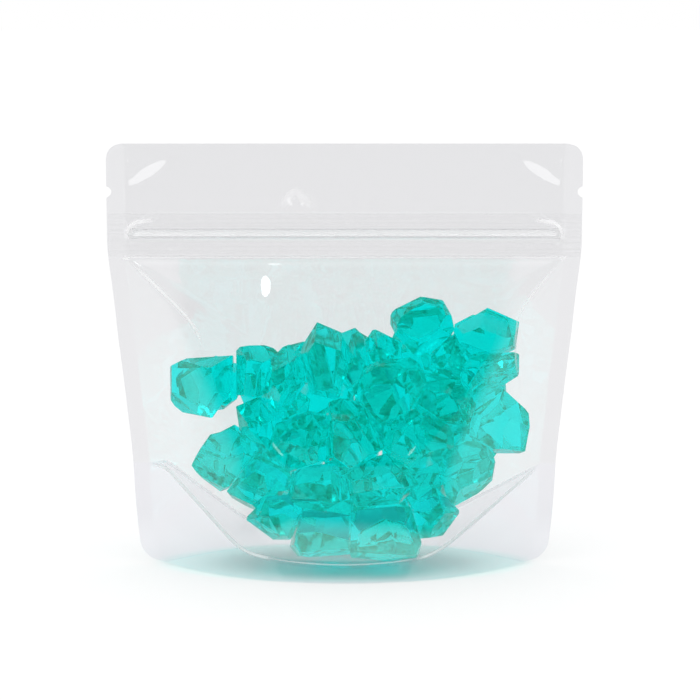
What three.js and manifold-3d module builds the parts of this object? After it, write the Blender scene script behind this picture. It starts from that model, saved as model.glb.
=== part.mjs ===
// Clear stand-up pouch with a press-to-close zipper, filled with clear teal acrylic gems.
// Units are millimetres and +Z is up. The front of the pouch faces -Y, and the origin is
// on the surface that the pouch stands on, under its middle.
import * as THREE from 'three';
import Module from 'manifold-3d';
import { mergeVertices } from 'three/addons/utils/BufferGeometryUtils.js';

const wasm = await Module();
wasm.setup();

// Driving dimensions of the pouch
const pouchHeight = 127.6;
const headerHalfWidth = 71.2;
const footHalfWidth = 61.2;
const sideSeal = 4.8;
const topCornerRadius = 4.7;
const footCornerRadius = 6.5;
const film = 0.2;
const gussetFold = 31;
const footHalfDepth = 27.5;
const footRoundness = 2.2;

// The curved seal between each panel and the gusset: its height at the middle, how fast it
// rises beside the middle, and the straight stretch that climbs to each side seal
const sealHeight = 5.6;
const sealCurve = 0.0035;
const sealClimb = { left: 0.98, right: 0.72 };
const sealClimbStart = { left: 21.8, right: 15.9 };
const sealBlend = 3;

// The gusset hangs below the line between its two seals
const gussetSag = 6.4;

// The zipper: a flange on each panel, with a bead on the back one that snaps into a groove
const zipperTop = 106.7;
const zipperFlange = 13;
const ribHeight = 2.8;
const ribAboveFlangeFoot = 5.6;
const ribEndInset = 3;
const ribLip = 0.5;
const hookReach = 0.4;
const hookThickness = 0.3;
const beadClearance = 0.2;
const stemThickness = 0.5;

// Tear notches
const notchRadius = 1.5;
const notchBelowTop = 14.4;

// Clearances
const webGap = 0.05;
const foldGap = 0.1;
const gemFilmGap = 0.6;
const gemGap = 0.3;

// How far the panels stand off the middle plane in the seals, and at the closed zipper
const sealStandOff = film + webGap + foldGap / 2;
const closedZipper = 0.7;

// Shape of the filled body: [height, value] at heights between the floor and the zipper
const zipperFoot = zipperTop - zipperFlange;
const sideLine = [
  [0, footHalfWidth], [7, 62.4], [20, 63.6], [33, 64.3], [45, 65.5], [58, 66.9],
  [70, 68.3], [82, 69.5], [92, 70.7], [98, headerHalfWidth], [pouchHeight, headerHalfWidth],
];
const bulge = [
  [0, 24.4], [6, 24], [20, 24.5], [34, 23.8], [45, 21.9], [60, 18],
  [69, 15], [78, 10.8], [87, 5.2], [zipperFoot, 0], [pouchHeight, 0],
];
const facetSlope = [
  [0, 0.78], [15, 0.74], [28, 0.68], [45, 0.72], [60, 0.68], [75, 0.62], [pouchHeight, 0.62],
];
const crown = 0.14;

// Value at a height of a smooth curve through [height, value] points
function curveAt(points, height) {
  const last = points.length - 1;
  let i = 0;
  while (i < last - 1 && height > points[i + 1][0]) i += 1;
  const [h0, v0] = points[i];
  const [h1, v1] = points[i + 1];
  const slope = (a, b) => (points[b][1] - points[a][1]) / (points[b][0] - points[a][0]);
  const inner = slope(i, i + 1);
  const before = i > 0 ? slope(i - 1, i) : inner;
  const after = i + 1 < last ? slope(i + 1, i + 2) : inner;
  const bend = (a, b) => (a * b <= 0 ? 0 : (2 * a * b) / (a + b));
  const span = h1 - h0;
  const t = THREE.MathUtils.clamp((height - h0) / span, 0, 1);
  const startPull = bend(before, inner) * span;
  const endPull = bend(inner, after) * span;
  const a = 2 * t ** 3 - 3 * t ** 2 + 1;
  const b = t ** 3 - 2 * t ** 2 + t;
  const c = t ** 3 - t ** 2;
  return a * v0 + b * startPull + (1 - a) * v1 + c * endPull;
}

function smoothMin(a, b, blend) {
  const near = Math.max(blend - Math.abs(a - b), 0) / blend;
  return Math.min(a, b) - (near ** 2 * blend) / 4;
}

// Half width to the outer edge, with the rounded corners at the foot and at the top
function outerHalfWidth(z) {
  const corner = (radius, reach) => {
    const into = Math.max(radius - reach, 0);
    return radius - Math.sqrt(radius ** 2 - into ** 2);
  };
  return curveAt(sideLine, z) - corner(footCornerRadius, z) - corner(topCornerRadius, pouchHeight - z);
}

// Half width to the inner edge of the side seal
function innerHalfWidth(z) {
  const leastSeal = 0.4;
  return Math.min(curveAt(sideLine, z) - sideSeal, outerHalfWidth(z) - leastSeal);
}

// Height of the seal between panel and gusset at a share u of the inner half width
const sealReach = innerHalfWidth(gussetFold / 2);

function sealLine(u) {
  const side = u < 0 ? 'left' : 'right';
  const x = Math.min(Math.abs(u), 1) * sealReach;
  const low = sealHeight + sealCurve * x ** 2;
  const climb = sealClimb[side] * (x - sealClimbStart[side]);
  const rising = -smoothMin(-low, -climb, sealBlend);
  return Math.min(rising, gussetFold);
}

// Depth from the middle plane to the inside of a panel above the curved seal
function bodyDepth(x, z) {
  const reach = innerHalfWidth(z);
  const share = Math.min(Math.abs(x) / reach, 1);
  const middle = closedZipper + curveAt(bulge, z) * (1 - crown * share ** 2);
  const facet = curveAt(facetSlope, z) * Math.max(reach - Math.abs(x), 0);
  const blend = Math.min(0.35 * middle, 6);
  return sealStandOff + Math.max(smoothMin(middle, facet, blend), 0);
}

// Depth from the middle plane to the inside of a panel, anywhere on it
function panelDepth(u, z) {
  if (Math.abs(u) >= 1) return sealStandOff;
  const seal = sealLine(u);
  if (z >= seal) return bodyDepth(u * innerHalfWidth(z), z);
  const foot = sealStandOff + footHalfDepth * (1 - Math.abs(u) ** footRoundness);
  const top = bodyDepth(u * innerHalfWidth(seal), seal);
  return THREE.MathUtils.lerp(foot, top, z / seal);
}

// Columns of the film meshes as shares of the inner half width, closer together towards the
// side seals, with one more for the outer edge of each seal
const halfColumns = 11;
const columnCrowding = 1.25;
const outerEdge = 2;
const columns = [-outerEdge];
for (let i = -halfColumns; i <= halfColumns; i += 1) {
  columns.push(Math.sin((i / halfColumns) * columnCrowding) / Math.sin(columnCrowding));
}
columns.push(outerEdge);

function columnX(u, z) {
  if (Math.abs(u) === outerEdge) return Math.sign(u) * outerHalfWidth(z);
  return u * innerHalfWidth(z);
}

// Closed solid between two grids of points. Face A looks along columns x rows. Each square
// is split along one diagonal, and along the other one from a given row on, so that a web
// which folds back up is split like the panel that it lies on.
function gridSolid(faceA, faceB, turnedFrom = Infinity) {
  const columnCount = faceA.length;
  const rowCount = faceA[0].length;
  const count = columnCount * rowCount;
  const positions = [];
  for (const face of [faceA, faceB]) {
    for (const column of face) {
      for (const point of column) positions.push(...point);
    }
  }
  const at = (i, j) => i * rowCount + j;
  const indices = [];
  for (let i = 0; i + 1 < columnCount; i += 1) {
    for (let j = 0; j + 1 < rowCount; j += 1) {
      const [a, b, c, d] = [at(i, j), at(i + 1, j), at(i + 1, j + 1), at(i, j + 1)];
      const halves = j < turnedFrom ? [a, b, c, a, c, d] : [a, b, d, b, c, d];
      indices.push(...halves);
      indices.push(...halves.map((index) => index + count).reverse());
    }
  }
  const rim = [];
  for (let i = 0; i + 1 < columnCount; i += 1) rim.push([at(i, 0), at(i + 1, 0)]);
  for (let j = 0; j + 1 < rowCount; j += 1) rim.push([at(columnCount - 1, j), at(columnCount - 1, j + 1)]);
  for (let i = columnCount - 1; i > 0; i -= 1) rim.push([at(i, rowCount - 1), at(i - 1, rowCount - 1)]);
  for (let j = rowCount - 1; j > 0; j -= 1) rim.push([at(0, j), at(0, j - 1)]);
  for (const [a, b] of rim) {
    indices.push(a, a + count, b);
    indices.push(b, a + count, b + count);
  }
  const geometry = new THREE.BufferGeometry();
  geometry.setAttribute('position', new THREE.Float32BufferAttribute(positions, 3));
  geometry.setIndex(indices);
  return geometry;
}

// Solid forms for joining and cutting, and back again
function solidOf(geometry) {
  const bare = geometry.clone();
  bare.deleteAttribute('normal');
  bare.deleteAttribute('uv');
  const merged = mergeVertices(bare, 1e-5);
  return new wasm.Manifold(new wasm.Mesh({
    numProp: 3,
    vertProperties: new Float32Array(merged.attributes.position.array),
    triVerts: new Uint32Array(merged.index.array),
  }));
}

function geometryOf(solid) {
  const mesh = solid.getMesh();
  const geometry = new THREE.BufferGeometry();
  geometry.setAttribute('position', new THREE.BufferAttribute(new Float32Array(mesh.vertProperties), 3));
  geometry.setIndex(new THREE.BufferAttribute(new Uint32Array(mesh.triVerts), 1));
  return geometry;
}

// Rows of a panel: along the sealed skirt, up the body to the zipper, across the zipper,
// and up the header with its rounded corners
const ribFoot = zipperFoot + ribAboveFlangeFoot;
const zipperRows = [zipperFoot, ribFoot, ribFoot + ribHeight, zipperTop];
const skirtRows = [0, 0.03, 0.08, 0.2, 0.5, 1];
const bodyRows = 10;

function panelRows(u) {
  const seal = sealLine(u);
  const rows = skirtRows.map((share) => share * seal);
  for (let j = 1; j < bodyRows; j += 1) {
    rows.push(seal + (zipperFoot - seal) * (j / bodyRows));
  }
  rows.push(...zipperRows);
  const headerShares = [0, 0.35, 0.65, 0.85, 0.96, 1];
  for (const share of headerShares) {
    rows.push(pouchHeight - topCornerRadius * (1 - share));
  }
  return rows;
}

// A flat-lying web between two depths in front of (side -1) or behind (side 1) the middle
function web(side, rowsOf, innerDepth) {
  const grid = (extra) => columns.map((u) => rowsOf(u).map((z) => (
    [columnX(u, z), side * (innerDepth(u, z) + extra), z]
  )));
  const inner = grid(0);
  const outer = grid(film);
  return side < 0 ? gridSolid(outer, inner) : gridSolid(inner, outer);
}

function panel(side) {
  let solid = solidOf(web(side, panelRows, panelDepth));
  for (const edge of [-1, 1]) {
    const cutter = new THREE.CylinderGeometry(notchRadius, notchRadius, 6 * film + 4 * sealStandOff, 16);
    cutter.translate(edge * headerHalfWidth, 0, 0);
    cutter.translate(0, 0, pouchHeight - notchBelowTop);
    solid = solid.subtract(solidOf(cutter));
  }
  return geometryOf(solid);
}

// Height of the upper side of the gusset floor at a share u across and a share q from the
// middle plane to the seal
function gussetFloor(u, q) {
  const hang = gussetSag * (1 - Math.min(Math.abs(u), 1) ** 3) * (1 - q ** 2);
  return Math.max(sealLine(u) - hang, film);
}

function gusset() {
  const floorShares = [-0.85, -0.6, -0.3, 0, 0.3, 0.6, 0.85];
  const section = (u, below) => {
    const seal = sealLine(u);
    const top = seal - below;
    const inset = webGap + below;
    const depth = (z) => panelDepth(u, z) - inset;
    const skirt = skirtRows.map((share) => share * top);
    const front = skirt.map((z) => [columnX(u, z), -depth(z), z]);
    const back = skirt.map((z) => [columnX(u, z), depth(z), z]).reverse();
    const floor = floorShares.map((q) => (
      [columnX(u, seal), q * depth(top), gussetFloor(u, q) - below]
    ));
    return [...front, ...floor, ...back];
  };
  const upper = columns.map((u) => section(u, 0));
  const lower = columns.map((u) => section(u, film));
  const middleRow = skirtRows.length + (floorShares.length - 1) / 2;
  return gridSolid(upper, lower, middleRow);
}

// Outlines of the snap profile in (depth, height), with the depth from the middle plane
function extrudeAlongX(outline, halfLength) {
  const shape = new THREE.Shape(outline.map(([y, z]) => new THREE.Vector2(y, z)));
  const geometry = new THREE.ExtrudeGeometry(shape, { depth: 2 * halfLength, bevelEnabled: false });
  geometry.translate(0, 0, -halfLength);
  geometry.applyMatrix4(new THREE.Matrix4().set(
    0, 0, 1, 0,
    1, 0, 0, 0,
    0, 1, 0, 0,
    0, 0, 0, 1,
  ));
  return geometry;
}

const flangeFace = closedZipper + sealStandOff - webGap - film;
const ribHalfLength = headerHalfWidth - sideSeal - ribEndInset;

function flange(side) {
  return solidOf(web(side, () => zipperRows, (u, z) => panelDepth(u, z) - webGap - film));
}

function grooveStrip() {
  const back = -flangeFace - film / 2;
  const floor = -flangeFace + ribLip / 2;
  const mouth = flangeFace - beadClearance;
  const top = ribFoot + ribHeight;
  const outline = [
    [back, ribFoot], [mouth, ribFoot], [mouth, ribFoot + ribLip + hookReach],
    [mouth - hookThickness, ribFoot + ribLip + hookReach], [mouth - hookThickness, ribFoot + ribLip],
    [floor, ribFoot + ribLip], [floor, top - ribLip], [mouth - hookThickness, top - ribLip],
    [mouth - hookThickness, top - ribLip - hookReach], [mouth, top - ribLip - hookReach],
    [mouth, top], [back, top],
  ];
  return geometryOf(flange(-1).add(solidOf(extrudeAlongX(outline, ribHalfLength))));
}

function ribStrip() {
  const back = flangeFace + film / 2;
  const middle = ribFoot + ribHeight / 2;
  const beadHalf = ribHeight / 2 - ribLip - beadClearance;
  const beadBack = flangeFace - beadClearance - hookThickness - beadClearance;
  const beadFront = -flangeFace + ribLip / 2 + beadClearance;
  const stem = stemThickness / 2;
  const outline = [
    [back, middle - stem], [back, middle + stem], [beadBack, middle + stem],
    [beadBack, middle + beadHalf], [beadFront, middle + stem], [beadFront, middle - stem],
    [beadBack, middle - beadHalf], [beadBack, middle - stem],
  ];
  return geometryOf(flange(1).add(solidOf(extrudeAlongX(outline, ribHalfLength))));
}

// The gems that show at the front, by their outline in (x, z), clockwise or not, and how
// far behind the front film they sit
const gemThickness = 17;
const frontGems = [
  [0, [[-52, 61], [-48, 63], [-33, 64], [-33, 56], [-40, 46], [-50, 48], [-52, 51]]],
  [4, [[-32, 67], [-26, 68], [-20, 66], [-17, 58], [-22, 48], [-32, 50]]],
  [0, [[-21, 66], [-16, 68], [-13, 65], [-12, 57], [-18, 48], [-23, 46], [-25, 52]]],
  [5, [[-32, 49], [-25, 52], [-19, 46], [-22, 36], [-31, 42]]],
  [3, [[-8, 74], [-1, 71], [1, 64], [-2, 52], [-10, 54], [-13, 66]]],
  [6, [[3, 72], [-2, 70], [-3, 60], [3, 52], [10, 58], [9, 66]]],
  [5, [[9, 72], [5, 66], [7, 59], [16, 58], [17, 68]]],
  [0, [[14, 76], [15, 78], [23, 82], [29, 81], [33, 74], [32, 70], [22, 64], [15, 68]]],
  [3, [[33, 72], [43, 78], [52, 74], [51, 66], [41, 62], [32, 67]]],
  [0, [[34, 62], [44, 66], [52, 67], [52, 58], [46, 54], [38, 49], [32, 55]]],
  [1, [[47, 54], [53, 49], [56, 45], [54, 34], [44, 34], [38, 39], [40, 49]]],
  [0, [[5, 61], [12, 65], [21, 64], [25, 57], [20, 47], [11, 45], [4, 53]]],
  [0, [[-46, 31], [-41, 40], [-33, 42], [-26, 37], [-28, 28], [-38, 24], [-42, 28]]],
  [4, [[-36, 26], [-27, 34], [-18, 30], [-17, 22], [-26, 18], [-32, 21]]],
  [2, [[-29, 17], [-24, 23], [-16, 24], [-12, 19], [-16, 11], [-21, 11]]],
  [3, [[-19, 13], [-16, 21], [-7, 25], [3, 21], [3, 6], [-6, 5], [-15, 6]]],
  [0, [[1, 20], [9, 24], [21, 20], [24, 12], [22, 6], [11, 5], [1, 6]]],
  [4, [[20, 19], [27, 25], [34, 18], [29, 11], [22, 10]]],
  [1, [[27, 28], [33, 38], [42, 38], [45, 33], [44, 27], [40, 23], [31, 18]]],
  [1, [[-20, 45], [-10, 49], [-3, 45], [-5, 33], [-14, 30], [-23, 36]]],
  [4, [[-4, 53], [8, 50], [14, 38], [3, 29], [-8, 34]]],
  [0, [[-15, 32], [-3, 34], [1, 24], [-6, 20], [-17, 22]]],
  [3, [[0, 32], [15, 37], [22, 27], [16, 21], [3, 20]]],
  [1, [[11, 45], [21, 51], [32, 46], [32, 36], [21, 31], [11, 36]]],
  [3, [[22, 60], [32, 59], [39, 51], [37, 42], [27, 43], [20, 51]]],
];

// The gems behind them by their middles in (x, z) and their radius: first those in the
// middle of the pouch, then those against the back panel
const innerGems = [
  [-24, 29, 8.5], [4, 23, 8], [24, 26, 8.5], [-19, 47, 8],
  [-4, 39, 8], [11, 47, 8.5], [30, 43, 8.5], [33, 62, 7.5],
];
const backGems = [
  [-19, 18, 9], [-4, 13, 9], [12, 13, 9], [27, 19, 8.5],
  [-33, 31, 9], [-15, 32, 9.5], [2, 31, 9.5], [20, 32, 9.5], [37, 34, 9.5],
  [-40, 54, 8], [-23, 50, 9.5], [-6, 49, 9.5], [11, 50, 9.5], [28, 49, 9.5], [42, 51, 8.5],
  [-15, 59, 7], [3, 62, 7.5], [24, 67, 9], [41, 66, 8.5],
];

// Repeatable numbers between -1 and 1 from a whole number
function scatter(seed) {
  let state = (seed * 2654435761) % 4294967296;
  return () => {
    state = (state * 1664525 + 1013904223) % 4294967296;
    return (state / 4294967296) * 2 - 1;
  };
}

// Outline of a gem that isn't drawn by hand: a polygon with six or seven uneven corners
function looseOutline([x, z, reach], random) {
  const corners = 6 + Math.round(random() * 0.5 + 0.5);
  const turn = random() * Math.PI;
  const points = [];
  for (let i = 0; i < corners; i += 1) {
    const angle = turn + ((i + 0.25 * random()) / corners) * 2 * Math.PI;
    const radius = reach * (1.06 + 0.12 * random());
    points.push([x + radius * Math.cos(angle), z + radius * Math.sin(angle)]);
  }
  return points;
}

// Keep what lies on the inner side of the plane through a point with an outward normal
function shave(solid, point, normal) {
  const inward = normal.clone().normalize().negate();
  return solid.trimByPlane([inward.x, inward.y, inward.z], inward.dot(point));
}

// A faceted chunk with a given outline: each side of the outline carries a facet that leans
// to the front and one that leans to the back, and the ends are broken by sloping facets
function gemSolid(outline, middle, thickness, random) {
  const outlineMargin = 0.5;
  const span = new THREE.Box2().setFromPoints(outline.map(([x, z]) => new THREE.Vector2(x, z)));
  const size = span.getSize(new THREE.Vector2());
  const block = new THREE.BoxGeometry(size.x + 2, 2 * thickness, size.y + 2);
  block.translate(middle.x, middle.y, middle.z);
  let solid = solidOf(block);
  outline.forEach(([x, z], i) => {
    const [nextX, nextZ] = outline[(i + 1) % outline.length];
    const out = new THREE.Vector3(nextZ - z, 0, x - nextX).normalize();
    const edge = new THREE.Vector3((x + nextX) / 2, 0, (z + nextZ) / 2);
    if (out.dot(edge.clone().sub(middle).setY(0)) < 0) out.negate();
    edge.addScaledVector(out, outlineMargin);
    edge.y = middle.y + 2.5 * random();
    for (const way of [-1, 1]) {
      const lean = THREE.MathUtils.degToRad(22 + 14 * random());
      const normal = out.clone().multiplyScalar(Math.cos(lean));
      normal.y = way * Math.sin(lean);
      solid = shave(solid, edge, normal);
    }
  });
  for (const way of [-1, 1]) {
    for (const side of [-1, 1]) {
      const tip = middle.clone();
      tip.y += way * thickness * (0.5 + 0.02 * random());
      tip.x += side * size.x * 0.12;
      solid = shave(solid, tip, new THREE.Vector3(side * (0.28 + 0.22 * random()), way, 0.3 * random()));
    }
  }
  return solid;
}

// How far a point reaches out of the space inside the film, and the way back
function filmExcess(point) {
  const side = point.y < 0 ? -1 : 1;
  const step = 0.4;
  const wall = (x, z) => bodyDepth(x, z) - gemFilmGap;
  const wallNormal = new THREE.Vector3(
    (wall(point.x - step, point.z) - wall(point.x + step, point.z)) / (2 * step),
    side,
    (wall(point.x, point.z - step) - wall(point.x, point.z + step)) / (2 * step),
  );
  const wallExcess = (Math.abs(point.y) - wall(point.x, point.z)) / wallNormal.length();
  const floor = (x, y) => {
    let seal = gussetFold / 2;
    let u = 0;
    for (let pass = 0; pass < 4; pass += 1) {
      u = THREE.MathUtils.clamp(x / innerHalfWidth(seal), -1, 1);
      seal = sealLine(u);
    }
    const q = THREE.MathUtils.clamp(y / bodyDepth(x, seal), -1, 1);
    return gussetFloor(u, q) + gemFilmGap;
  };
  const floorNormal = new THREE.Vector3(
    (floor(point.x + step, point.y) - floor(point.x - step, point.y)) / (2 * step),
    (floor(point.x, point.y + step) - floor(point.x, point.y - step)) / (2 * step),
    -1,
  );
  const floorExcess = (floor(point.x, point.y) - point.z) / floorNormal.length();
  return wallExcess > floorExcess
    ? { excess: wallExcess, normal: wallNormal.normalize() }
    : { excess: floorExcess, normal: floorNormal.normalize() };
}

function cornersOf(solid) {
  const values = solid.getMesh().vertProperties;
  const corners = [];
  for (let i = 0; i < values.length; i += 3) {
    corners.push(new THREE.Vector3(values[i], values[i + 1], values[i + 2]));
  }
  return corners;
}

// Flatten a gem where it would reach through the film that it lies against
function seatInFilm(solid) {
  const enough = 0.05;
  const mostCuts = 40;
  for (let cut = 0; cut < mostCuts; cut += 1) {
    let worst = { excess: enough };
    for (const corner of cornersOf(solid)) {
      const reach = filmExcess(corner);
      if (reach.excess > worst.excess) worst = { ...reach, corner };
    }
    if (!worst.corner) return solid;
    const point = worst.corner.clone().addScaledVector(worst.normal, -worst.excess);
    solid = shave(solid, point, worst.normal);
  }
  return solid;
}

function layGems() {
  const gems = [];
  const lay = (points, depthOf, random) => {
    const middle = new THREE.Vector3();
    for (const [x, z] of points) middle.add(new THREE.Vector3(x, 0, z));
    middle.divideScalar(points.length);
    const wall = bodyDepth(middle.x, middle.z) - gemFilmGap;
    const thickness = Math.min(gemThickness * (1 + 0.06 * random()), 1.7 * wall);
    const pressed = 0.6;
    middle.y = depthOf(wall - thickness / 2 + pressed);
    gems.push({ middle, solid: seatInFilm(gemSolid(points, middle, thickness, random)) });
  };
  for (const [setBack, outline] of frontGems) {
    lay(outline, (againstWall) => setBack - againstWall, scatter(gems.length + 1));
  }
  for (const gem of innerGems) {
    const random = scatter(gems.length + 1);
    lay(looseOutline(gem, random), () => 0, random);
  }
  for (const gem of backGems) {
    const random = scatter(gems.length + 1);
    lay(looseOutline(gem, random), (againstWall) => againstWall, random);
  }
  gems.forEach((gem, i) => {
    for (const other of gems.slice(i + 1)) {
      if (gem.solid.intersect(other.solid).isEmpty()) continue;
      const across = other.middle.clone().sub(gem.middle).normalize();
      const halfway = gem.middle.clone().add(other.middle).divideScalar(2);
      const shift = across.clone().multiplyScalar(gemGap / 2);
      gem.solid = shave(gem.solid, halfway.clone().sub(shift), across);
      other.solid = shave(other.solid, halfway.clone().add(shift), across.negate());
    }
  });
  return gems.map((gem) => gem.solid);
}

// Materials
const clearFilm = new THREE.MeshStandardMaterial({
  color: 0xeef1f2, roughness: 0.08, metalness: 0, transparent: true, opacity: 0.18,
});
const zipperFilm = new THREE.MeshStandardMaterial({
  color: 0xe6eaec, roughness: 0.15, metalness: 0, transparent: true, opacity: 0.35,
});
const tealAcrylic = new THREE.MeshStandardMaterial({
  color: 0x00c8b8, roughness: 0.05, metalness: 0, transparent: true, opacity: 0.75,
});

const pouch = new THREE.Group();
const addPiece = (name, geometry, material) => {
  const mesh = new THREE.Mesh(geometry, material);
  mesh.name = name;
  pouch.add(mesh);
};
addPiece('front_panel', panel(-1), clearFilm);
addPiece('back_panel', panel(1), clearFilm);
addPiece('bottom_gusset', gusset(), clearFilm);
addPiece('zipper_groove_strip', grooveStrip(), zipperFilm);
addPiece('zipper_rib_strip', ribStrip(), zipperFilm);
layGems().forEach((solid, i) => {
  addPiece(`gem_${String(i + 1).padStart(2, '0')}`, geometryOf(solid), tealAcrylic);
});

export default pouch;
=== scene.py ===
import math

import bmesh
import bpy
from mathutils import Matrix, Vector, noise


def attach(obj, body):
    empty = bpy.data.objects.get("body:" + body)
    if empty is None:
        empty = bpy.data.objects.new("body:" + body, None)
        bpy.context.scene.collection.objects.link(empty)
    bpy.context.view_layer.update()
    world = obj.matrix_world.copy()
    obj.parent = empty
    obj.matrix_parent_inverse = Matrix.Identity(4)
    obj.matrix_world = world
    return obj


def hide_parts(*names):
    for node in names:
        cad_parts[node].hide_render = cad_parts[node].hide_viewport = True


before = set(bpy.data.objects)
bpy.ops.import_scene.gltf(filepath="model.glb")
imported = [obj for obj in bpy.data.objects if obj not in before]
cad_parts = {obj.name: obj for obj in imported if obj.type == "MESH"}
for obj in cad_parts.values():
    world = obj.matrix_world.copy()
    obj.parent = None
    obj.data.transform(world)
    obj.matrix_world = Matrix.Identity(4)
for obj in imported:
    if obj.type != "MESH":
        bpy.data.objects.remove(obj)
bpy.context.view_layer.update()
MM = 0.001

# Camera. A long lens looks at the pouch from straight in front and a little above, from
# 700 mm away, so that the floor inside its foot shows as a shallow lens shape.
camera_distance = 700 * MM
camera_rise = math.radians(8)
aim_height = 64.6 * MM
aim_right = 1.66 * MM
aim_up = 0.85 * MM
focal_pixels = 2319
frame_pixels = 700

camera_data = bpy.data.cameras.new("camera")
camera = bpy.data.objects.new("camera", camera_data)
bpy.context.scene.collection.objects.link(camera)
camera_data.sensor_width = 36
camera_data.lens = camera_data.sensor_width * focal_pixels / frame_pixels
camera_back = Vector((0, -math.cos(camera_rise), math.sin(camera_rise)))
camera_up = Vector((0, math.sin(camera_rise), math.cos(camera_rise)))
aim = Vector((aim_right, 0, aim_height)) + camera_up * aim_up
camera.location = aim + camera_back * camera_distance
camera.rotation_mode = "QUATERNION"
camera.rotation_quaternion = (-camera_back).to_track_quat("-Z", "Y")
camera_data.clip_start = 0.01
camera_data.clip_end = 100
bpy.context.scene.camera = camera

# Room. White paper all round, seen by the eye and by anything clear, and a dimmer studio
# that only gloss reflects. Light crosses dozens of gem faces and layers of film on its way,
# so it may bounce more often than usual.
pure_white = 0xFFFFFF
clear_bounces = 32
matt_bounces = 16

scene = bpy.context.scene
scene.view_settings.view_transform = "Standard"
scene.cycles.max_bounces = clear_bounces
scene.cycles.transmission_bounces = clear_bounces
scene.cycles.glossy_bounces = clear_bounces
scene.cycles.transparent_max_bounces = clear_bounces
scene.cycles.diffuse_bounces = matt_bounces


def add(tree, kind, settings=None, **links):
    """A node with its settings, whose inputs are values or other sockets, by name or number."""
    node = tree.nodes.new(kind)
    for name, value in (settings or {}).items():
        setattr(node, name, value)
    for name, value in links.items():
        socket = node.inputs[int(name[1:]) if name[1:].isdigit() else name.replace("_", " ")]
        if isinstance(value, bpy.types.NodeSocket):
            tree.links.new(value, socket)
        else:
            socket.default_value = value
    return node


def linear(colour):
    """A linear colour with alpha 1 from an sRGB hex value."""
    channels = [((colour >> shift) & 255) / 255 for shift in (16, 8, 0)]
    return [c / 12.92 if c <= 0.04045 else ((c + 0.055) / 1.055) ** 2.4 for c in channels] + [1]


def new_material(name):
    """An empty node material and its output node."""
    material = bpy.data.materials.new(name)
    material.use_nodes = True
    material.node_tree.nodes.clear()
    return material, material.node_tree, add(material.node_tree, "ShaderNodeOutputMaterial")


def only_glossy(tree):
    """1 for rays that gloss sends back on their way to the eye, and 0 for all others."""
    path = add(tree, "ShaderNodeLightPath").outputs
    clear = add(
        tree, "ShaderNodeMath", {"operation": "SUBTRACT"}, _0=1.0, _1=path["Is Transmission Ray"]
    ).outputs[0]
    gloss = add(
        tree, "ShaderNodeMath", {"operation": "MULTIPLY"}, _0=path["Is Glossy Ray"], _1=clear
    ).outputs[0]
    direct = add(
        tree, "ShaderNodeMath", {"operation": "LESS_THAN"}, _0=path["Diffuse Depth"], _1=0.5
    ).outputs[0]
    return add(tree, "ShaderNodeMath", {"operation": "MULTIPLY"}, _0=gloss, _1=direct).outputs[0]


# The studio is dark in front, where the camera stands, because clear film on white shows only
# as the faint grey of what it mirrors. It is lighter beside, above and behind: from which
# reach of a direction, up to which, and to what share of white.
dark_front = 0x16181A
light_beside = (0.84, 0.98, 0.5)
light_above = (0.86, 1.0, 0.3)
light_behind = (0.0, 0.6, 0.4)


def gloss_room(tree, direction):
    """Tone of the studio that gloss shows in a direction."""
    def share_of(light, reach):
        start, full, share = light
        return add(
            tree, "ShaderNodeMapRange", {"interpolation_type": "SMOOTHSTEP"},
            Value=reach, From_Min=start, From_Max=full, To_Max=share,
        ).outputs[0]

    def larger(one, other):
        return add(
            tree, "ShaderNodeMath", {"operation": "MAXIMUM"}, _0=one, _1=other
        ).outputs[0]

    split = add(tree, "ShaderNodeSeparateXYZ", _0=direction).outputs
    sideways = add(tree, "ShaderNodeMath", {"operation": "ABSOLUTE"}, _0=split["X"]).outputs[0]
    beside = share_of(light_beside, sideways)
    above = share_of(light_above, split["Z"])
    behind = share_of(light_behind, split["Y"])
    return add(
        tree, "ShaderNodeMix", {"data_type": "RGBA"},
        Factor=larger(larger(beside, above), behind),
        _6=linear(dark_front), _7=linear(pure_white),
    ).outputs[2]


world = bpy.data.worlds.new("studio")
scene.world = world
world.use_nodes = True
sky = world.node_tree
sky.nodes.clear()
paper = add(sky, "ShaderNodeBackground", Color=linear(pure_white), Strength=1.0)
outward = add(sky, "ShaderNodeTexCoord").outputs["Generated"]
room = add(sky, "ShaderNodeBackground", Color=gloss_room(sky, outward), Strength=1.0)
shown = add(
    sky, "ShaderNodeMixShader", _0=only_glossy(sky), _1=paper.outputs[0], _2=room.outputs[0]
)
add(sky, "ShaderNodeOutputWorld", Surface=shown.outputs[0])

# Floor. A sheet of matt white paper board that runs out to the horizon. Inside the foot's
# ellipse, 2.1 times as wide as deep, it is a little polished, and a painted teal glow there
# stands for the gems' light falling on it and lightens the shade under the pouch.
floor_half = 60.0
floor_drop = 0.05 * MM
foot_ellipse = (1, 2.1, 0)
painted_glow_edge = (46 * MM, 60 * MM)
polish_edge = (55 * MM, 25 * MM)
polish_share = 0.55
open_board = 0xCACACA
# The foot's teal is a painted glow: emitted light that stands in for the gems' light on the floor
# under the pouch.
painted_teal_glow = 0x70E8DC
painted_glow_under_foot, board_glow = 0.2, 0.43

floor_builder = bmesh.new()
bmesh.ops.create_grid(floor_builder, x_segments=1, y_segments=1, size=floor_half)
floor_mesh = bpy.data.meshes.new("floor")
floor_builder.to_mesh(floor_mesh)
floor_builder.free()
floor = bpy.data.objects.new("floor", floor_mesh)
scene.collection.objects.link(floor)
floor.location.z = -floor_drop

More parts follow.
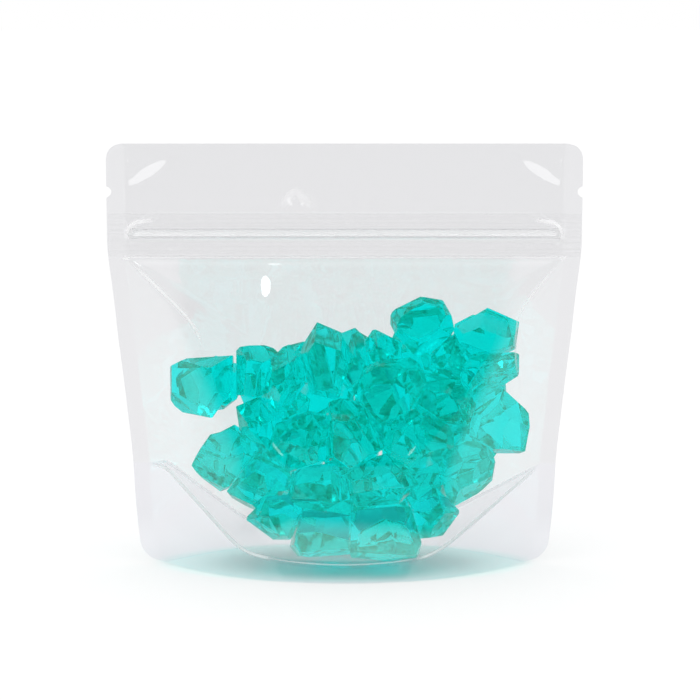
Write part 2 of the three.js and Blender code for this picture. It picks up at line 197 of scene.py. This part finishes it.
floor_paper, tree, output = new_material("floor_paper")
place = add(tree, "ShaderNodeTexCoord").outputs["Object"]
squeezed = add(
    tree, "ShaderNodeVectorMath", {"operation": "MULTIPLY"}, _0=place, _1=foot_ellipse
).outputs[0]
from_middle = add(
    tree, "ShaderNodeVectorMath", {"operation": "LENGTH"}, _0=squeezed
).outputs["Value"]
around = add(
    tree, "ShaderNodeMapRange", {"interpolation_type": "SMOOTHSTEP"},
    Value=from_middle, From_Min=painted_glow_edge[0], From_Max=painted_glow_edge[1],
).outputs[0]
board_tone = add(
    tree, "ShaderNodeMix", {"data_type": "RGBA"},
    Factor=around, _6=linear(pure_white), _7=linear(open_board),
).outputs[2]
# Painted light: a teal glow inside the foot, and outside it a white glow that keeps the open board
# white.
glow_tone = add(
    tree, "ShaderNodeMix", {"data_type": "RGBA"},
    Factor=around, _6=linear(painted_teal_glow), _7=linear(pure_white),
).outputs[2]
glow = add(
    tree, "ShaderNodeMapRange", Value=around, To_Min=painted_glow_under_foot, To_Max=board_glow
).outputs[0]
matte = add(tree, "ShaderNodeBsdfDiffuse", Color=board_tone)
fill = add(tree, "ShaderNodeEmission", Color=glow_tone, Strength=glow)
lit = add(tree, "ShaderNodeAddShader", _0=matte.outputs[0], _1=fill.outputs[0])

# Gloss sees the board itself close by, and past a few centimetres the tone that the studio
# has in that direction, so that the film mirrors no bright floor and no horizon.
board_seen = (25 * MM, 80 * MM)
studio_share = 0.95
away = add(tree, "ShaderNodeVectorMath", {"operation": "NORMALIZE"}, _0=place).outputs[0]
dim = add(tree, "ShaderNodeEmission", Color=gloss_room(tree, away), Strength=1.0)
ray_length = add(tree, "ShaderNodeLightPath").outputs["Ray Length"]
far_off = add(
    tree, "ShaderNodeMapRange", {"interpolation_type": "SMOOTHSTEP"},
    Value=ray_length, From_Min=board_seen[0], From_Max=board_seen[1], To_Max=studio_share,
).outputs[0]
dimmed = add(
    tree, "ShaderNodeMath", {"operation": "MULTIPLY"}, _0=far_off, _1=only_glossy(tree)
).outputs[0]
board = add(tree, "ShaderNodeMixShader", _0=dimmed, _1=lit.outputs[0], _2=dim.outputs[0])
polish = add(
    tree, "ShaderNodeMapRange", {"interpolation_type": "SMOOTHSTEP"},
    Value=from_middle, From_Min=polish_edge[0], From_Max=polish_edge[1], To_Max=polish_share,
).outputs[0]
sheen = add(tree, "ShaderNodeBsdfGlossy", Color=linear(pure_white), Roughness=0.42)
surface = add(tree, "ShaderNodeMixShader", _0=polish, _1=board.outputs[0], _2=sheen.outputs[0])
tree.links.new(surface.outputs[0], output.inputs["Surface"])
floor.data.materials.append(floor_paper)

# Pouch film. Clear glossy laminate about 0.13 mm thick, cut as three webs: front, back and
# a gusset folded up between them. The webs are heat-sealed at the sides and along a curve
# above the bottom edge, and the gems push the rest into a pillow. Sizes are in millimetres.
pouch_height = 127.6
header_half_width = 71.2
foot_half_width = 61.2
side_seal = 4.8
least_seal = 0.4
top_corner_radius = 4.7
foot_corner_radius = 6.5
notch_radius = 1.5
notch_height = pouch_height - 14.4
film = 0.2
web_gap = 0.05
gusset_fold = 31.0
foot_half_depth = 27.5
foot_roundness = 2.2
zipper_top = 106.7
zipper_flange = 13.0
zipper_foot = zipper_top - zipper_flange
closed_zipper = 0.7
seal_stand_off = film + web_gap + 0.05
# The curved seal: a shallow bow in the middle, and a climb to each side, steeper at the left.
seal_height = 5.6
seal_curve = 0.0035
seal_climb = {-1: 0.98, 1: 0.72}
seal_climb_start = {-1: 21.8, 1: 15.9}
seal_blend = 3.0
# Half width, depth of the pillow in its middle, and slope of its sides, by height.
side_line = [
    (0, foot_half_width), (7, 62.4), (20, 63.6), (33, 64.3), (45, 65.5), (58, 66.9),
    (70, 68.3), (82, 69.5), (92, 70.7), (98, header_half_width), (pouch_height, header_half_width),
]
bulge = [
    (0, 24.4), (6, 24), (20, 24.5), (34, 23.8), (45, 21.9), (60, 18), (69, 15), (78, 10.8),
    (82.5, 7.75), (87, 4.55), (91, 1.8), (zipper_foot, 0), (pouch_height, 0),
]
side_slope = [
    (0, 0.78), (15, 0.74), (28, 0.68), (45, 0.72), (60, 0.68), (75, 0.62), (pouch_height, 0.62),
]
side_blend_share = 0.35
side_blend_most = 6
crown = 0.14
crown_top = 84
crown_fade = 12


def curve_at(points, height):
    """Value at a height of a smooth curve through (height, value) points."""
    last = len(points) - 1
    i = 0
    while i < last - 1 and height > points[i + 1][0]:
        i += 1
    (h0, v0), (h1, v1) = points[i], points[i + 1]

    def slope(a, b):
        return (points[b][1] - points[a][1]) / (points[b][0] - points[a][0])

    def bend(a, b):
        return 0 if a * b <= 0 else 2 * a * b / (a + b)

    inner = slope(i, i + 1)
    before = slope(i - 1, i) if i > 0 else inner
    after = slope(i + 1, i + 2) if i + 1 < last else inner
    span = h1 - h0
    t = min(max((height - h0) / span, 0), 1)
    a = 2 * t**3 - 3 * t**2 + 1
    b = t**3 - 2 * t**2 + t
    c = t**3 - t**2
    return a * v0 + b * bend(before, inner) * span + (1 - a) * v1 + c * bend(inner, after) * span


def smooth_min(a, b, blend):
    """The smaller of two numbers, rounded where they are close."""
    near = max(blend - abs(a - b), 0) / blend
    return min(a, b) - near**2 * blend / 4


def eased(share):
    """0 to 1 with a soft start and end."""
    share = min(max(share, 0), 1)
    return share * share * (3 - 2 * share)


def outer_half_width(z):
    """Half width of the pouch to its outer edge, with its rounded corners."""
    def corner(radius, reach):
        into = max(radius - reach, 0)
        return radius - math.sqrt(max(radius**2 - into**2, 0))

    foot = corner(foot_corner_radius, z)
    top = corner(top_corner_radius, pouch_height - z)
    return curve_at(side_line, z) - foot - top


def notched_half_width(z):
    """Half width to the outer edge, with the half-round tear notch cut out of it."""
    into = notch_radius**2 - (z - notch_height) ** 2
    return outer_half_width(z) - (math.sqrt(into) if into > 0 else 0)


def inner_half_width(z):
    """Half width to the inner edge of the side seal."""
    return min(curve_at(side_line, z) - side_seal, outer_half_width(z) - least_seal)


seal_reach = inner_half_width(gusset_fold / 2)


def seal_line(u):
    """Height of the curved seal at a share u of the inner half width."""
    side = -1 if u < 0 else 1
    x = min(abs(u), 1) * seal_reach
    bow = seal_height + seal_curve * x**2
    climb = seal_climb[side] * (x - seal_climb_start[side])
    return min(-smooth_min(-bow, -climb, seal_blend), gusset_fold)


def body_depth(x, z):
    """Depth from the middle plane to a panel, above the curved seal."""
    reach = inner_half_width(z)
    share = min(abs(x) / reach, 1)
    crowned = crown * eased((crown_top - z) / crown_fade)
    middle = closed_zipper + curve_at(bulge, z) * (1 - crowned * share**2)
    side = curve_at(side_slope, z) * max(reach - abs(x), 0)
    blend = min(side_blend_share * middle, side_blend_most)
    return seal_stand_off + max(smooth_min(middle, side, blend), 0)


def panel_depth(u, z):
    """Depth from the middle plane to a panel, anywhere on it."""
    if abs(u) >= 1:
        return seal_stand_off
    seal = seal_line(u)
    if z >= seal:
        return body_depth(u * inner_half_width(z), z)
    foot = seal_stand_off + foot_half_depth * (1 - abs(u) ** foot_roundness)
    top = body_depth(u * inner_half_width(seal), seal)
    return foot + (top - foot) * z / seal


# Loose film is never flat: broad waves 26 by 30 mm and finer ones 11 by 13 mm, which die out
# towards the seals and the zipper.
broad_wave, broad_height = (26, 30), 0.32
fine_wave, fine_height = (11, 13), 0.07
waves_top = 92
waves_fade = 24
waves_from_seal = 10
waves_from_side = 4


def slack(x, z, side):
    """Small waves of the loose film between the seals."""
    broad = Vector((x / broad_wave[0], z / broad_wave[1], 7.0 * side))
    fine = Vector((x / fine_wave[0], z / fine_wave[1], 3.0 * side))
    return broad_height * noise.noise(broad) + fine_height * noise.noise(fine)


# Over the pressed zipper the film is drawn tight: up over the flange's edge, flat, up a steep
# step to the bead, and down an even slope that faces the overhead lamp.
zipper_relief = [
    (93.1, 0), (93.6, 0.3), (94.1, 0.12), (98.5, 0.3), (98.9, 0.1), (99.3, 0.7), (99.7, 1.2),
    (100, 1.26), (100.4, 0.94), (100.8, 0.58), (101.2, 0.22), (101.5, 0.08), (101.9, 0.2),
    (106.2, 0.36), (106.7, 0.3), (107.1, 0),
]
bead_foot = 99.5
relief_end = header_half_width - side_seal - 0.6
relief_fade = 2.2
lean_above, lean_below = 7, 3
crinkle_top = 98.5
crinkle_fade = 1.5
crinkle_wave, crinkle_height = (2.6, 1.8), 0.06


def over_zipper(x, z):
    """How far the film stands out where it lies on the closed zipper, crushed at its ends."""
    if not zipper_relief[0][0] < z < zipper_relief[-1][0]:
        return 0
    # Each end curves inwards, most of all above the bead.
    above = max(z - bead_foot, 0) / 7.2
    below = max(bead_foot - z, 0) / 6
    end = relief_end - lean_above * above**1.6 - lean_below * below**1.5
    crinkle = noise.noise(Vector((x / crinkle_wave[0], z / crinkle_wave[1], 0)))
    crinkle *= crinkle_height * eased((crinkle_top - z) / crinkle_fade)
    return (curve_at(zipper_relief, z) + crinkle) * eased((end - abs(x)) / relief_fade)


# Puckers of the front film, each with its middle, half sizes, height and lean: a ridge below
# the zipper, a long and a short one in each corner of the header, and three above the zipper.
ridge_pucker = ((-20.9, 86), (3.2, 8), 0.66, 0)
header_puckers = [
    ((-58.9, 116), (13, 3.4), 0.3, 0.54), ((-64.3, 120.6), (1.6, 1.6), 0.16, 0),
    ((58.9, 116), (13, 3.4), 0.3, -0.54), ((64.3, 120.6), (1.6, 1.6), 0.16, 0),
    ((-14.5, 108), (3.2, 4), 0.5, 0), ((3, 109.5), (1.4, 2.4), 0.2, 0),
    ((9.5, 107.6), (3, 2), 0.25, 0),
]
ridge_fade = 7
header_fade = 2


def pucker(x, z, middle, half, height, lean):
    """Height of one soft oval pucker at a place (x, z)."""
    right, up = x - middle[0], z - middle[1]
    along = right * math.cos(lean) + up * math.sin(lean)
    across = up * math.cos(lean) - right * math.sin(lean)
    return height * math.exp(-((along / half[0]) ** 2 + (across / half[1]) ** 2))


def puckers(x, z, side):
    """Height of all the puckers together, which only the front has."""
    if side > 0:
        return 0
    ridge = pucker(x, z, *ridge_pucker) * eased((zipper_foot - z) / ridge_fade)
    inside = eased((header_half_width - side_seal - abs(x)) / header_fade)
    header = eased((z - zipper_top) / header_fade) * inside
    return ridge + header * sum(pucker(x, z, *each) for each in header_puckers)


def outside_depth(x, z, side):
    """Depth of the outer surface of a panel at a place (x, z) of it."""
    u = x / inner_half_width(z)
    depth = panel_depth(u, z) + film
    if abs(u) >= 1:
        return depth
    loose = min(1, waves_from_side * (1 - abs(u))) * eased((waves_top - z) / waves_fade)
    loose *= eased((z - seal_line(u)) / waves_from_seal)
    return depth + slack(x, z, side) * loose + over_zipper(x, z) + puckers(x, z, side)


# A flat web runs from -1 to 1 across and up. Its columns crowd towards the side seals, where
# the film turns, and its rows crowd across the zipper, where the relief is fine.
seal_share = 0.93
crowding = 1.25
skirt_rows = 0.1
zipper_rows = (0.56, 0.84)
zipper_zone = (93, 107.2)
columns, rows = 260, 300
# How clear each zone stays: sealed film mirrors less than loose film over air does.
skirt_clear = 1.0
side_seal_clear = 0.6
header_clear = 0.38
edge_clear = 0.42
edge_from, edge_over = 0.7, 0.12
fold_angle = math.radians(25)


def across_web(a):
    """Share u of the inner half width at a place across a web, and the share of the seal."""
    inside = min(abs(a) / seal_share, 1)
    u = math.copysign(math.sin(inside * crowding) / math.sin(crowding), a)
    return u, max(abs(a) - seal_share, 0) / (1 - seal_share)


def height_on_web(up, seal):
    """Height of a row of the flat web, with more rows across the zipper."""
    first, last = zipper_rows
    bottom, top = zipper_zone
    if up < skirt_rows:
        return seal * up / skirt_rows
    if up < first:
        return seal + (bottom - seal) * (up - skirt_rows) / (first - skirt_rows)
    if up < last:
        return bottom + (top - bottom) * (up - first) / (last - first)
    return top + (pouch_height - top) * (up - last) / (1 - last)


def film_point(a, b, side):
    """Where a point (a, b) of a flat web lies on a standing panel, and how clear it is."""
    u, past = across_web(a)
    up = (b + 1) / 2
    z = height_on_web(up, seal_line(u))
    inner = inner_half_width(z)
    x = u * inner + math.copysign((notched_half_width(z) - inner) * past, a)
    if up < skirt_rows:
        clearness = skirt_clear
    elif abs(a) > seal_share:
        clearness = side_seal_clear
    elif z > zipper_foot:
        clearness = header_clear
    else:
        clearness = edge_clear * eased((abs(u) - edge_from) / edge_over)
    return Vector((x, side * outside_depth(x, z, side), z)), clearness


def object_of(name, builder):
    """A new object in the scene from a bmesh, smooth except across sharp folds."""
    mesh = bpy.data.meshes.new(name)
    for face in builder.faces:
        face.smooth = True
    for edge in builder.edges:
        edge.smooth = edge.calc_face_angle(0) < fold_angle
    builder.to_mesh(mesh)
    builder.free()
    made = bpy.data.objects.new(name, mesh)
    scene.collection.objects.link(made)
    return made


def film_web(name, place_of, across, along, turned=False):
    """A web of film: a flat grid, each point of which goes to its place on the pouch."""
    builder = bmesh.new()
    clearness = builder.verts.layers.float.new("clearness")
    bmesh.ops.create_grid(builder, x_segments=across, y_segments=along, size=1)
    for vert in builder.verts:
        point, vert[clearness] = place_of(vert.co.x, vert.co.y)
        vert.co = point * MM
    if turned:
        bmesh.ops.reverse_faces(builder, faces=builder.faces[:])
    return object_of(name, builder)


front_film = film_web("front_film", lambda a, b: film_point(a, b, -1), columns, rows)
back_film = film_web("back_film", lambda a, b: film_point(a, b, 1), columns, rows, turned=True)
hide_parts("front_panel")
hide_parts("back_panel")


def matt_white(tree):
    """The white of polymer that scatters light as much forwards as back."""
    front = add(tree, "ShaderNodeBsdfDiffuse", Color=linear(pure_white))
    back = add(tree, "ShaderNodeBsdfTranslucent", Color=linear(pure_white))
    return add(
        tree, "ShaderNodeMixShader", _0=0.5, _1=front.outputs[0], _2=back.outputs[0]
    ).outputs[0]


def film_material(name, mirrors, tint, waves, haze=(0.0, 0.0), grazing=0.85):
    """Clear film: what it lets through, under gloss that grows towards grazing angles.

    The shares that it mirrors head on are given for loose and for sealed film. The waves are
    the lengths, in millimetres along x, y and z, over which its surface and haze vary.
    """
    material, tree, output = new_material(name)
    place = add(tree, "ShaderNodeTexCoord").outputs["Object"]
    drawn = add(
        tree, "ShaderNodeVectorMath", {"operation": "MULTIPLY"},
        _0=place, _1=[1 / (length * MM) for length in waves],
    ).outputs[0]
    uneven = add(tree, "ShaderNodeTexNoise", Vector=drawn, Scale=1.0, Detail=3.0).outputs["Fac"]
    normal = add(
        tree, "ShaderNodeBump", Height=uneven, Strength=0.25, Distance=0.03 * MM
    ).outputs[0]
    facing = add(tree, "ShaderNodeLayerWeight", Blend=0.5).outputs["Facing"]
    steep = add(tree, "ShaderNodeMath", {"operation": "POWER"}, _0=facing, _1=5.0).outputs[0]
    clearness = add(tree, "ShaderNodeAttribute", {"attribute_name": "clearness"}).outputs["Fac"]
    head_on = add(
        tree, "ShaderNodeMapRange", Value=clearness, To_Min=mirrors[0], To_Max=mirrors[1]
    ).outputs[0]
    share = add(
        tree, "ShaderNodeMath", {"operation": "MULTIPLY_ADD"}, _0=steep, _1=grazing, _2=head_on
    ).outputs[0]
    through = add(tree, "ShaderNodeBsdfTransparent", Color=linear(tint)).outputs[0]
    if haze[1]:
        cloud = add(
            tree, "ShaderNodeMapRange",
            Value=uneven, From_Min=0.35, From_Max=0.65, To_Min=haze[0], To_Max=haze[1],
        ).outputs[0]
        through = add(
            tree, "ShaderNodeMixShader", _0=cloud, _1=through, _2=matt_white(tree)
        ).outputs[0]
    mirror = add(
        tree, "ShaderNodeBsdfGlossy", Color=linear(pure_white), Roughness=0.035, Normal=normal
    ).outputs[0]
    surface = add(tree, "ShaderNodeMixShader", _0=share, _1=through, _2=mirror)
    tree.links.new(surface.outputs[0], output.inputs["Surface"])
    return material


# Polypropylene and polyethylene laminate, cast and calendered: water-clear, with a wet gloss
# that mirrors the dark side of a room as a faint grey, and clearer where it is sealed. The
# rolls leave it uneven over 14 mm across and 22 mm along.
laminate_waves = (14.3, 14.3, 22.2)
clear_laminate = film_material("clear_laminate", (0.12, 0.035), 0xFAFAFB, laminate_waves)
for web in (front_film, back_film):
    web.data.materials.append(clear_laminate)
    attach(web, "root")

# Bottom gusset. The third web, folded up between the panels and sealed to both below the
# curved seals, so that it opens like the floor of a boat when the pouch stands.
gusset_skirt = 0.25
gusset_sag = 6.4
gusset_lowest = 0.12
gusset_columns = 160


def gusset_point(a, b):
    """Where a point (a, b) of the gusset's flat web lies when the pouch stands."""
    side = -1 if b < 0 else 1
    u, past = across_web(a)
    seal = seal_line(u)
    from_edge = 1 - abs(b)
    in_skirt = from_edge < gusset_skirt
    if in_skirt:
        z = level = seal * from_edge / gusset_skirt
        depth = panel_depth(u, z) - web_gap
    else:
        z = seal
        spread = 1 - (from_edge - gusset_skirt) / (1 - gusset_skirt)
        depth = spread * (panel_depth(u, seal) - web_gap)
        hang = gusset_sag * (1 - min(abs(u), 1) ** 3) * (1 - spread**2)
        level = max(seal - hang, gusset_lowest)
    inner = inner_half_width(z)
    x = u * inner + math.copysign((outer_half_width(z) - inner) * past, a)
    sealed = in_skirt or abs(a) > seal_share
    return Vector((x, side * depth, level)), 1.0 if sealed else 0.0


gusset_film = film_web("gusset_film", gusset_point, gusset_columns, gusset_columns)
# The same laminate, so close above the floor that it shows the floor's tone more than gloss.
clear_gusset = film_material(
    "clear_gusset_laminate", (0.06, 0.008), 0xFDFDFE, laminate_waves, grazing=0.3
)
gusset_film.data.materials.append(clear_gusset)
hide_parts("bottom_gusset")
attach(gusset_film, "root")

# Zipper. Two strips of extruded polyethylene, a little milky: a flange welded to the inside
# of each panel, and along it a groove or a bead, pressed shut and crushed flat at the ends.
flange_half_length = header_half_width - 0.3
flange_behind_film = film + 0.08
bead_middle = zipper_foot + 7.0
bead_half_height = 1.35
bead_half_depth = 0.85
bead_half_length = 64.8
bead_squareness = 0.7
bead_sides, bead_cuts = 24, 80
crushed_end = 4.0
crushed_thinner, crushed_taller = 0.88, 0.25


def flange_point(a, b, side):
    """Where a point (a, b) of a flange lies: on the inside of its panel, all clear film."""
    z = zipper_foot + zipper_flange * (b + 1) / 2
    x = a * flange_half_length
    return Vector((x, side * (outside_depth(x, z, side) - flange_behind_film), z)), 0.0


def zipper_bead(name, side):
    """The milky bead of a strip: a rounded bar with flattened ends."""
    builder = bmesh.new()
    bmesh.ops.create_cone(
        builder, cap_ends=False, segments=bead_sides, radius1=1, radius2=1, depth=2,
        matrix=Matrix.Rotation(math.radians(90), 4, "Y"),
    )
    long_edges = [
        edge for edge in builder.edges if abs(edge.verts[0].co.x - edge.verts[1].co.x) > 1
    ]
    bmesh.ops.subdivide_edges(builder, edges=long_edges, cuts=bead_cuts, use_grid_fill=True)
    for vert in builder.verts:
        x = vert.co.x * bead_half_length
        crush = 1 - eased((bead_half_length - abs(x)) / crushed_end)
        depth = bead_half_depth * (1 - crushed_thinner * crush)
        height = bead_half_height * (1 + crushed_taller * crush)
        out = math.copysign(abs(vert.co.y) ** bead_squareness, vert.co.y)
        up = math.copysign(abs(vert.co.z) ** bead_squareness, vert.co.z)
        middle = side * (depth + web_gap)
        vert.co = Vector((x, middle + out * depth, bead_middle + up * height)) * MM
    ends = [edge for edge in builder.edges if edge.is_boundary]
    bmesh.ops.holes_fill(builder, edges=ends)
    bmesh.ops.recalc_face_normals(builder, faces=builder.faces[:])
    return object_of(name, builder)


# Extruded polyethylene: the thick bead is a little milky, with lines drawn along it by the
# die, and the thin flange is nearly clear with the same lines. Real die lines are finer than
# 0.1 mm; they are drawn 0.7 to 2.5 mm wide here, and 40 to 83 mm long, so that they show.
milky_polyethylene = film_material(
    "milky_polyethylene", (0.02, 0.02), pure_white, (40, 1.667, 1.111), haze=(0.25, 0.45)
)
flange_film = film_material(
    "extruded_flange", (0.008, 0.008), 0xFEFEFE, (83.3, 2.5, 0.7143), haze=(0.0, 0.04)
)
for name, node, side in (("groove", "zipper_groove_strip", -1), ("rib", "zipper_rib_strip", 1)):
    flange = film_web(
        f"{name}_flange", lambda a, b, side=side: flange_point(a, b, side), 200, 60,
        turned=side > 0,
    )
    flange.data.materials.append(flange_film)
    bead = zipper_bead(f"{name}_bead", side)
    bead.data.materials.append(milky_polyethylene)
    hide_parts(node)
    for piece in (flange, bead):
        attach(piece, "root")

# Fold lines. Where the film is sharply creased, or a hot bar has pressed its edge, it turns
# a hazy white along a line half a millimetre to a millimetre wide. The same white lines are
# also painted highlights, for the bright glints that these folds and edges catch.
line_off_film = 0.12
line_below_seal = 0.45
line_step = 0.8
look_ahead = 0.2

# Laminate whitened by stress, and painted highlight: a matt white that scatters light both
# ways, and fades to clear where its haze attribute does.
whitening_and_highlight_film, tree, output = new_material("whitening_and_painted_highlight")
haze = add(tree, "ShaderNodeAttribute", {"attribute_name": "haze"}).outputs["Fac"]
clear = add(tree, "ShaderNodeBsdfTransparent", Color=linear(pure_white)).outputs[0]
line = add(tree, "ShaderNodeMixShader", _0=haze, _1=clear, _2=matt_white(tree))
tree.links.new(line.outputs[0], output.inputs["Surface"])

lines = bmesh.new()
whitening_and_highlight_layer = lines.verts.layers.float.new("haze")


def whitening_and_glint_line(side, path, width, strength, fade):
    """Add a white line, stress whitening and painted highlight, along a path of (x, z) places on a
    panel.
    """
    steps = [0.0]
    for (x0, z0), (x1, z1) in zip(path, path[1:]):
        steps.append(steps[-1] + math.hypot(x1 - x0, z1 - z0))
    length = steps[-1]
    curves = [[(step, place[axis]) for step, place in zip(steps, path)] for axis in (0, 1)]
    segments = max(8, round(length / line_step))
    made = bmesh.ops.create_grid(lines, x_segments=segments, y_segments=4, size=1)["verts"]
    for vert in made:
        at = (vert.co.x + 1) / 2 * length
        across = vert.co.y
        x, z = (curve_at(curve, at) for curve in curves)
        before, after = max(at - look_ahead, 0), min(at + look_ahead, length)
        ahead = [curve_at(curve, after) - curve_at(curve, before) for curve in curves]
        size = math.hypot(*ahead)
        x -= ahead[1] / size * across * width / 2
        z += ahead[0] / size * across * width / 2
        depth = outside_depth(x, z, side) + line_off_film
        vert.co = Vector((x, side * depth, z)) * MM
        vert[whitening_and_highlight_layer] = strength * eased(min(at, length - at) / fade) * (1 - across**4)


# The curved seals and the flange's lower edge, on both panels and fainter at the back: white
# from the hot bar, and on the front painted brighter as a highlight.
for side, seal_whitening_and_glint in ((-1, 1.0), (1, 0.3)):
    shares = [i / 24 - 0.98 for i in range(48)]
    seal_path = [
        (u * inner_half_width(seal_line(u)), seal_line(u) - line_below_seal) for u in shares
    ]
    left_climb = [place for place in seal_path if place[0] < -20]
    low_seal = [place for place in seal_path if -26 < place[0] < 24]
    right_climb = [place for place in seal_path if place[0] > 18]
    flange_edge = [(-66, zipper_foot), (0, zipper_foot), (66, zipper_foot)]
    whitening_and_glint_line(side, left_climb, 1.3, seal_whitening_and_glint, 4)
    whitening_and_glint_line(side, low_seal, 0.5, 0.5 * seal_whitening_and_glint, 6)
    whitening_and_glint_line(side, right_climb, 1.2, seal_whitening_and_glint, 4)
    whitening_and_glint_line(side, flange_edge, 0.6, 0.5 * seal_whitening_and_glint, 3)

# On the front alone: the two creases that fan out below the zipper and the zipper's crushed
# ends, white from the fold and painted brighter as highlights, and two painted highlights
# alone: the glint along its bead, and the rim of the pucker above it.
left_fold_glint = [(-65.2, 93.2), (-55, 84.5), (-46.5, 76.5), (-43.5, 72), (-41.5, 67)]
right_fold_glint = [(65.2, 93), (59, 86.5), (53.5, 79.5), (51.5, 75), (51, 66), (52.5, 56)]
whitening_and_glint_line(-1, left_fold_glint, 1.2, 0.95, 12)
whitening_and_glint_line(-1, right_fold_glint, 0.8, 0.4, 10)
for way in (-1, 1):
    crushed_end_glint = [(way * 56, 104.9), (way * 62.2, 104.2), (way * 64.8, 101.8), (way * 65.2, 98.6)]
    flange_corner_glint = [(way * 66.8, 93.2), (way * 64.4, 93.5)]
    whitening_and_glint_line(-1, crushed_end_glint, 1.4, 0.9, 5)
    whitening_and_glint_line(-1, flange_corner_glint, 0.9, 0.9, 1)
# Painted highlights: white lines that stand in for the glint along the bead and the bright rim of
# the pucker.
painted_bead_glint = [(-65, 101.1), (0, 101.1), (65, 101.1)]
painted_pucker_rim_glint = [(-19.3, 107.4), (-17, 111.2), (-14.8, 113.2), (-12.2, 111.2), (-9, 107.4)]
whitening_and_glint_line(-1, painted_bead_glint, 1.0, 0.55, 4)
whitening_and_glint_line(-1, painted_pucker_rim_glint, 3.0, 0.25, 5)

crease_and_glint_lines = object_of("crease_and_glint_lines", lines)
crease_and_glint_lines.data.materials.append(whitening_and_highlight_film)
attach(crease_and_glint_lines, "root")

# Gems. Cast chunks of clear teal acrylic with flat facets and softened edges; the colour
# goes all through them, so thick ones are deeper and thin ends are pale.
gem_edge = 0.45 * MM
mould_ripple = 4.545 * MM

# Cast acrylic dyed all through: rippled by its mould over 4.5 mm, rubbed duller in patches by
# its neighbours, and teal because it soaks up red within a few millimetres. The dye's colour
# is given as shares, because its green and blue are closer to 1 than a hex value can say.
teal_acrylic, tree, output = new_material("cast_teal_acrylic")
place = add(tree, "ShaderNodeTexCoord").outputs["Object"]
ripples = add(
    tree, "ShaderNodeTexNoise", Vector=place, Scale=1 / mould_ripple, Detail=2.0
).outputs["Fac"]
normal = add(tree, "ShaderNodeBump", Height=ripples, Strength=0.4, Distance=0.12 * MM).outputs[0]
rubbed = add(
    tree, "ShaderNodeMapRange", Value=ripples, From_Min=0.3, From_Max=0.7, To_Min=0.02, To_Max=0.09
).outputs[0]
acrylic = add(
    tree, "ShaderNodeBsdfPrincipled", Base_Color=linear(pure_white), Roughness=rubbed, IOR=1.42,
    Transmission_Weight=1.0, Normal=normal,
)
dye = add(tree, "ShaderNodeVolumeAbsorption", Color=(0.0, 0.9957, 0.9931, 1), Density=1400.0)
tree.links.new(acrylic.outputs[0], output.inputs["Surface"])
tree.links.new(dye.outputs[0], output.inputs["Volume"])

for name in sorted(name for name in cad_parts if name.startswith("gem_")):
    chunk = bmesh.new()
    chunk.from_mesh(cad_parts[name].data)
    bmesh.ops.remove_doubles(chunk, verts=chunk.verts[:], dist=0.02 * MM)
    bmesh.ops.dissolve_limit(
        chunk, angle_limit=math.radians(2), verts=chunk.verts[:], edges=chunk.edges[:]
    )
    bmesh.ops.bevel(
        chunk, geom=chunk.edges[:], offset=gem_edge, offset_type="OFFSET", segments=2,
        profile=0.5, affect="EDGES", material=-1, clamp_overlap=True,
    )
    gem = object_of(f"acrylic_{name}", chunk)
    for polygon in gem.data.polygons:
        polygon.use_smooth = False
    gem.data.materials.append(teal_acrylic)
    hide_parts(name)
    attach(gem, "root")

# Lamps. Soft boxes, each stood where the film mirrors it towards the camera at one place: a
# tall one for the ridge below the zipper, a long one overhead for the slope of its bead, and
# two small ones for the header's corners. They add about a twentieth to the room's light.
ridge_flank = (-23.2, 86.5)
bead_slope = (0, 100.8)
corner_pucker = (59.4, 117.6)


def mirrored_way(x, z):
    """A place on the front film, and the way in which it mirrors the camera's look."""
    step = 0.15

    def point_at(x, z):
        return Vector((x, -outside_depth(x, z, -1), z)) * MM

    point = point_at(x, z)
    across = point_at(x + step, z) - point_at(x - step, z)
    upwards = point_at(x, z + step) - point_at(x, z - step)
    normal = across.cross(upwards).normalized()
    look = (point - camera.location).normalized()
    return point, look - 2 * look.dot(normal) * normal


def soft_lamp(name, seen_at, distance, size, tone, shape):
    """A soft box mirrored at a place on the film: metres away, and its tone as gloss shows it."""
    point, way = mirrored_way(*seen_at)
    data = bpy.data.lights.new(name, "AREA")
    data.shape = shape
    data.size, data.size_y = size
    area = data.size * data.size_y * (math.pi / 4 if shape == "ELLIPSE" else 1)
    data.energy = tone * area * math.pi
    lamp = bpy.data.objects.new(name, data)
    scene.collection.objects.link(lamp)
    lamp.location = point + way * distance
    lamp.rotation_mode = "QUATERNION"
    lamp.rotation_quaternion = (-way).to_track_quat("-Z", "Y")
    lamp.visible_camera = False


soft_lamp("window", ridge_flank, 0.9, (0.15, 0.17), 4.0, "ELLIPSE")
soft_lamp("overhead_strip", bead_slope, 0.9, (0.34, 0.12), 1.6, "RECTANGLE")
for name, way in (("header_lamp_0", -1), ("header_lamp_2", 1)):
    seen_at = (way * corner_pucker[0], corner_pucker[1])
    soft_lamp(name, seen_at, 1.2, (0.12, 0.07), 1.5, "ELLIPSE")
